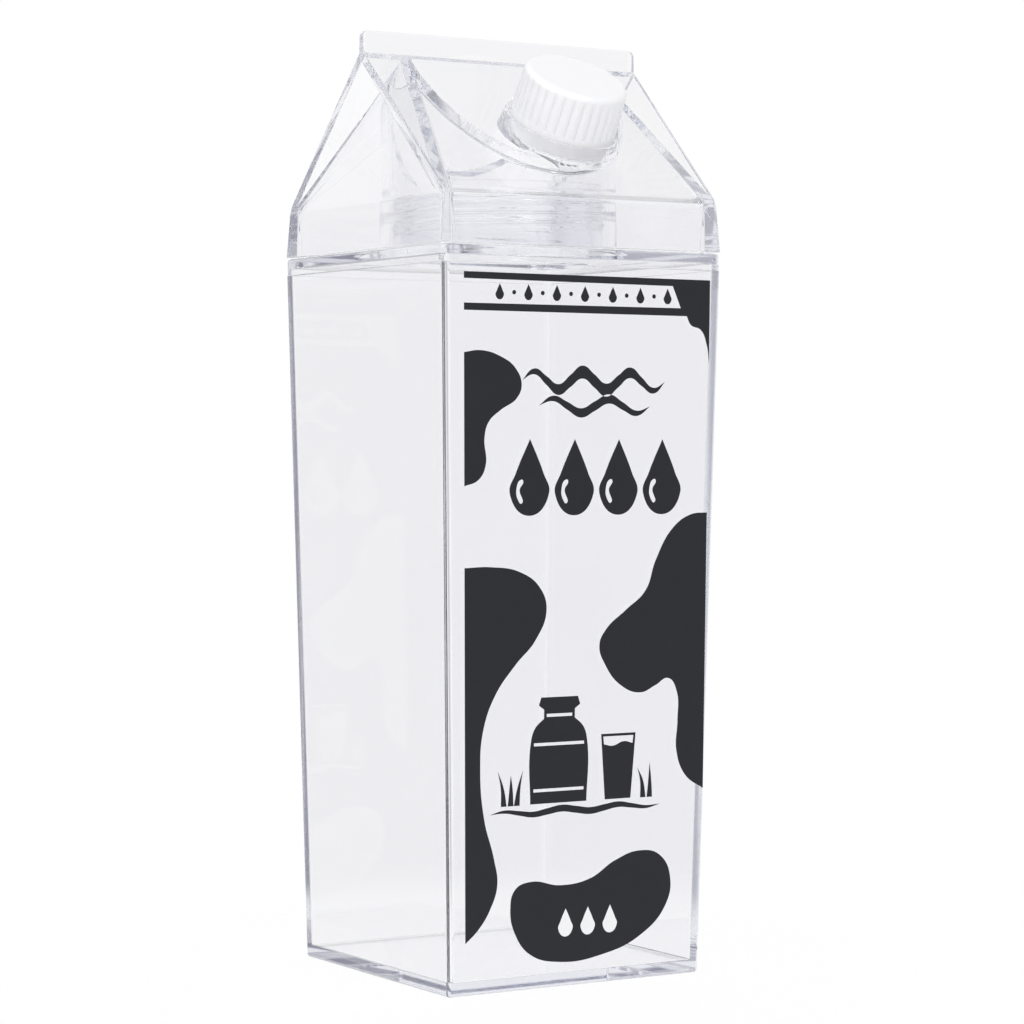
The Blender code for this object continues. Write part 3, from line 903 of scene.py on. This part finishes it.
def bars_and_corner(curve):
    """Two bars across the top that run together into a patch in the right corner."""
    add_outline(curve, [
        (print_left(161), 161.0, 1), (PRINT_RIGHT, 160.8, 1), (PRINT_RIGHT, 141.7, 1),
        (33.5, 145.9), (31.8, 149.3), (29.0, 150.4), (27.8, 152.4, 1),
        (print_left(152.5), 152.5, 1), (print_left(154.1), 154.1, 1), (26.1, 154.2, 1),
        (23.8, 159.2, 1), (print_left(159.5), 159.5, 1),
    ])


def hide_patches(curve):
    """Black hide patches; three of them are cut off by the edge of the field."""
    add_outline(curve, [
        (print_left(143.2), 143.2, 1), (-27.3, 143.7), (-22.1, 142.4), (-18.2, 139.8),
        (-16.6, 136.1), (-17.8, 133.2), (-22.0, 130.5), (-25.1, 127.8), (-26.1, 124.3),
        (-25.7, 118.3), (-27.5, 115.0), (print_left(113.6), 113.6, 1),
    ])
    add_outline(curve, [
        (print_left(95.5), 95.5, 1), (-24.1, 95.6), (-16.3, 94.3), (-11.0, 90.6), (-9.3, 85.7),
        (-12.1, 79.0), (-17.3, 73.6), (-22.5, 67.0), (-25.5, 59.4), (-26.2, 50.5), (-25.0, 39.2),
        (-22.3, 30.1), (-21.4, 24.4), (-23.2, 19.0), (-26.2, 14.7), (print_left(11.8), 11.8, 1),
    ])
    add_outline(curve, [
        (PRINT_RIGHT, 107.2, 1), (29.7, 106.8), (24.7, 103.7), (20.1, 96.4), (17.4, 89.5),
        (12.0, 85.1), (6.6, 80.7), (5.0, 77.3), (6.7, 72.7), (10.9, 68.0), (16.4, 66.1),
        (20.5, 67.6), (24.1, 69.1), (26.4, 66.2), (26.8, 59.2), (26.6, 52.3), (29.2, 46.4),
        (PRINT_RIGHT, 43.1, 1),
    ])
    add_outline(curve, [
        (-17.9, 18.5), (-16.7, 23.0), (-12.7, 24.5), (-4.7, 23.2), (3.3, 24.2), (10.1, 27.9),
        (16.9, 29.7), (22.5, 28.2), (25.4, 22.7), (24.1, 16.5), (17.2, 10.1), (6.3, 6.4),
        (-4.5, 5.7), (-12.5, 8.0), (-16.5, 12.8),
    ])


def ribbon(curve, start_x, end_x, z, swing, waves, width):
    """Wavy stroke that tapers to points at both ends."""
    count = waves * 4  # a point at each crest, trough and crossing
    upper, lower = [], []
    for i in range(1, count):
        part = i / count
        x = start_x + (end_x - start_x) * part
        middle = z + swing * math.sin(math.tau * waves * part)
        half = width / 2 * math.sin(math.pi * part) ** STROKE_SWELL
        upper.append((x, middle + half))
        lower.append((x, middle - half))
    add_outline(curve, [(start_x, z, 1), *upper, (end_x, z, 1), *reversed(lower)])


def small_marks(curve):
    """Row of small drops and dots between the two bars."""
    first, spacing = -22.6, 3.75
    for i in range(13):
        x = first + spacing * i
        if i % 2:
            add_outline(curve, [(0.5, 0), (0, 0.5), (-0.5, 0), (0, -0.5)], shift=(x, 156.7))
        else:
            add_outline(curve, DROP, shift=(x, 155.0), size=0.36)


def flourish(curve):
    """Two wavy strokes, one under the other."""
    ribbon(curve, -16.5, 22.0, z=137.2, swing=2.0, waves=3, width=3.0)
    ribbon(curve, -12.0, 18.0, z=131.6, swing=1.6, waves=2, width=2.2)


def bold_drops(curve):
    """Four large drops, each with a glint left open."""
    glint = [(-1.5, 3.4), (-1.0, 4.6), (-1.35, 4.7), (-2.0, 3.5), (-1.7, 2.0), (-1.2, 1.6)]
    first, spacing = -14.2, 11.9
    for i in range(4):
        place = (first + spacing * i, 106.9)
        add_outline(curve, DROP, shift=place, size=1.72)
        add_outline(curve, glint, shift=place, size=1.72)


def churn_and_tumbler(curve):
    """Dairy churn and a full tumbler on a strip of grass."""
    add_outline(curve, [
        (-13.0, 42.0, 1), (-13.0, 56.0), (-12.0, 59.0), (-9.6, 61.2, 1), (-9.6, 63.2, 1),
        (-11.0, 64.2, 1), (-10.4, 66.0, 1), (-0.6, 66.0, 1), (0.0, 64.2, 1), (-1.4, 63.2, 1),
        (-1.4, 61.2, 1), (1.0, 59.0), (2.0, 56.0), (2.0, 42.0, 1),
    ])
    for z, half in ((45.0, 6.7), (55.4, 6.7), (61.9, 3.4)):
        add_outline(curve, [
            (-half, 0.35, 1), (half, 0.35, 1), (half, -0.35, 1), (-half, -0.35, 1),
        ], shift=(-5.5, z))
    add_outline(curve, [(7.0, 42.0, 1), (5.8, 57.0, 1), (15.2, 57.0, 1), (14.0, 42.0, 1)])
    add_outline(curve, [(6.6, 54.6, 1), (6.4, 56.4, 1), (14.6, 56.4, 1), (14.4, 54.6, 1),
                        (12.0, 55.1), (9.0, 54.2)])
    ribbon(curve, -23.6, 22.2, z=40.2, swing=0.5, waves=3, width=1.6)
    for i, x in enumerate((-20.0, -18.2, -16.6, 17.4, 19.2)):
        lean = (i % 3 - 1) * 1.6
        add_outline(curve, [(-0.7, 0, 1), (lean * 0.3 - 0.3, 4.0), (lean, 8.0 - i % 2, 1),
                            (lean * 0.3 + 0.5, 4.0), (0.8, 0, 1)], shift=(x, 41.9))


def white_drops(curve):
    """Three drops on the lowest patch."""
    first, spacing = -3.2, 6.0
    for i in range(3):
        add_outline(curve, DROP, shift=(first + spacing * i, 11.4), size=0.64)


def print_place(height):
    """Frame of the front wall: X across, Y up along the wall, Z out of it."""
    up = Vector((0, -math.sin(WALL_TILT), math.cos(WALL_TILT)))
    out = Vector((1, 0, 0)).cross(up)
    origin = Vector((0, -box_half(0), 0)) + out * height
    turn = Matrix((Vector((1, 0, 0)), up, out)).transposed().to_4x4()
    return Matrix.Translation(origin) @ turn


def add_print(name, draw, material, low):
    """Fills the outlines as one coat of ink and lays it on the front wall."""
    curve = bpy.data.curves.new(name, "CURVE")
    curve.dimensions = "2D"
    curve.fill_mode = "BOTH"
    curve.resolution_u = 10
    curve.extrude = INK_COAT / 2
    for part in draw:
        part(curve)
    flat = new_object(name, curve)
    bm = solved_bmesh(flat)
    bpy.data.objects.remove(flat)
    bpy.data.curves.remove(curve)
    bmesh.ops.transform(bm, matrix=print_place(low + INK_COAT / 2), verts=bm.verts)
    add_piece(name, outward(bm), material, None, sharp=30.0)


class BOTTLE_OT_print(bpy.types.Operator):
    """Lay the screen print on the front wall"""

    bl_idname = "bottle.print"
    bl_label = "Print"

    def execute(self, context):
        black, white = "screen_ink_black", "screen_ink_white"
        dark_parts = [
            bars_and_corner, hide_patches, small_marks, flourish, bold_drops, churn_and_tumbler,
        ]
        # the black is laid on a white coat of the same outlines, as on any clear plastic
        add_print("print_undercoat", dark_parts, white, low=-INK_SINK)
        add_print("print_black", dark_parts, black, low=BLACK_LOW)
        add_print("print_white", [white_drops], white, low=WHITE_LOW)
        return {"FINISHED"}


class BOTTLE_OT_materials(bpy.types.Operator):
    """Make the plastics and the inks"""

    bl_idname = "bottle.materials"
    bl_label = "Materials"

    def execute(self, context):
        finish = context.scene.bottle_finish
        moulded_styrene(finish)
        moulded_polypropylene(finish)
        screen_ink("screen_ink_black", finish.ink, spread=0.08)
        screen_ink("screen_ink_white", finish.white_ink, spread=0.02)
        return {"FINISHED"}


def surroundings(studio):
    """White backdrop and screen, dark gaps at both sides, light ceiling and white table."""
    world = bpy.data.worlds.new("backdrop_and_screen")
    world.use_nodes = True
    tree = world.node_tree
    tree.nodes.clear()
    way = add_node(tree, "ShaderNodeTexCoord").outputs["Generated"]
    right = Vector((VIEW_AHEAD.y, -VIEW_AHEAD.x, 0)).normalized()
    towards, aside = (
        add_node(tree, "ShaderNodeVectorMath", settings={"operation": "DOT_PRODUCT"},
                 values={1: axis}, links={0: way}).outputs["Value"]
        for axis in (-VIEW_AHEAD, right)
    )
    turn = add_node(tree, "ShaderNodeMath", settings={"operation": "ARCTAN2"},
                    links={0: aside, 1: towards})
    part = add_node(tree, "ShaderNodeMapRange",
                    values={"From Min": -math.pi, "From Max": math.pi}, links={"Value": turn})
    ring = add_node(tree, "ShaderNodeValToRGB", links={"Fac": part})
    stops = ring.color_ramp.elements
    dark = linear(studio.shade)
    for degrees, light in LIGHT_ROUND:
        place = (degrees + 180) / 360
        stop = stops[0] if degrees == -180 else stops[-1] if degrees == 180 else stops.new(place)
        stop.color = tuple(d + (1 - d) * light for d in dark[:3]) + (1.0,)
    height = add_node(tree, "ShaderNodeSeparateXYZ", links={"Vector": way})
    up = add_node(tree, "ShaderNodeMapRange", settings={"interpolation_type": "SMOOTHSTEP"},
                  values={"From Min": CEILING_RISE[0], "From Max": CEILING_RISE[1]},
                  links={"Value": height.outputs["Z"]})
    whole = add_node(tree, "ShaderNodeMix", settings={"data_type": "RGBA"},
                     values={7: (*[studio.ceiling] * 3, 1.0)}, links={"Factor": up, 6: ring})
    down = add_node(tree, "ShaderNodeMapRange", settings={"interpolation_type": "SMOOTHSTEP"},
                    values={"From Min": TABLE_FALL[0], "From Max": TABLE_FALL[1],
                            "To Min": 1.0, "To Max": 0.0},
                    links={"Value": height.outputs["Z"]})
    board = add_node(tree, "ShaderNodeMix", settings={"data_type": "RGBA"},
                     values={7: linear(studio.floor)}, links={"Factor": down, 6: whole.outputs[2]})
    sky = add_node(tree, "ShaderNodeBackground", values={"Strength": studio.backdrop},
                   links={"Color": board.outputs[2]})
    add_node(tree, "ShaderNodeOutputWorld", links={"Surface": sky})
    return world


def softbox(name, place, target, side, power):
    """Square area light at that place, turned to the target."""
    light = bpy.data.lights.new(name, "AREA")
    light.shape = "RECTANGLE"
    light.size = light.size_y = side
    light.energy = power
    obj = new_object(name, light)
    obj.location = place
    obj.rotation_euler = (Vector(target) - Vector(place)).to_track_quat("-Z", "Y").to_euler()


class BOTTLE_OT_stage(bpy.types.Operator):
    """Set the floor, the surroundings, the lights and the camera"""

    bl_idname = "bottle.stage"
    bl_label = "Stage"

    def execute(self, context):
        scene, studio = context.scene, context.scene.bottle_studio
        bm = bmesh.new()
        bmesh.ops.create_grid(bm, x_segments=1, y_segments=1, size=FLOOR_HALF)
        floor = shape_object("floor", bm)
        studio_floor(studio)
        floor.data.materials.append(bpy.data.materials["pale_studio_floor"])
        floor.location.z = -FLOOR_DROP
        floor.visible_glossy = False

        scene.world = surroundings(studio)
        softbox("high_left", place=(-0.75, -0.35, 1.0), target=(0, 0, 0.15), side=0.6, power=3.0)
        softbox("over_cap", place=(0, -0.68, 1.25), target=(0, 0, 0.2), side=0.4, power=3.4)

        lens = bpy.data.cameras.new("photo_angle")
        lens.lens = studio.lens
        lens.sensor_width = 36.0
        camera = new_object("photo_angle", lens)
        facing = VIEW_AHEAD.to_track_quat("-Z", "Y").to_matrix().to_4x4()
        camera.matrix_world = (
            Matrix.Translation(CAMERA_PLACE) @ facing @ Matrix.Rotation(CAMERA_ROLL, 4, "Z")
        )
        scene.camera = camera

        scene.view_settings.view_transform = "Standard"
        # light runs along inside the walls and turns back at their ends many times
        scene.cycles.max_bounces = 64
        scene.cycles.glossy_bounces = 48
        scene.cycles.transmission_bounces = 48
        scene.cycles.transparent_max_bounces = 32
        return {"FINISHED"}


class BOTTLE_PT_panel(bpy.types.Panel):
    """Sidebar panel that lists the steps"""

    bl_idname = "BOTTLE_PT_panel"
    bl_label = "Carton Bottle"
    bl_space_type = "VIEW_3D"
    bl_region_type = "UI"
    bl_category = "Bottle"

    def draw(self, context):
        scene = context.scene
        for group in GROUPS:
            settings = getattr(scene, group)
            for name in settings.bl_rna.properties.keys():
                if name not in ("rna_type", "name"):
                    self.layout.prop(settings, name)
        for operator in OPERATORS:
            self.layout.operator(operator.bl_idname)


GROUPS = {
    "bottle_shape": BottleShape, "bottle_cap": CapShape, "bottle_finish": BottleFinish,
    "bottle_studio": BottleStudio,
}
OPERATORS = (
    BOTTLE_OT_stage, BOTTLE_OT_materials, BOTTLE_OT_box, BOTTLE_OT_neck_plate,
    BOTTLE_OT_gable_lid, BOTTLE_OT_spout_cap, BOTTLE_OT_print,
)


def register():
    for cls in (*GROUPS.values(), *OPERATORS, BOTTLE_PT_panel):
        bpy.utils.register_class(cls)
    for name, group in GROUPS.items():
        setattr(bpy.types.Scene, name, PointerProperty(type=group))


def unregister():
    for name in GROUPS:
        delattr(bpy.types.Scene, name)
    for cls in reversed((*GROUPS.values(), *OPERATORS, BOTTLE_PT_panel)):
        bpy.utils.unregister_class(cls)


def main():
    register()
    bpy.ops.bottle.stage()
    bpy.ops.bottle.materials()
    bpy.ops.bottle.box()
    bpy.ops.bottle.neck_plate()
    bpy.ops.bottle.gable_lid()
    bpy.ops.bottle.spout_cap()
    bpy.ops.bottle.print()


if __name__ == "__main__":
    main()
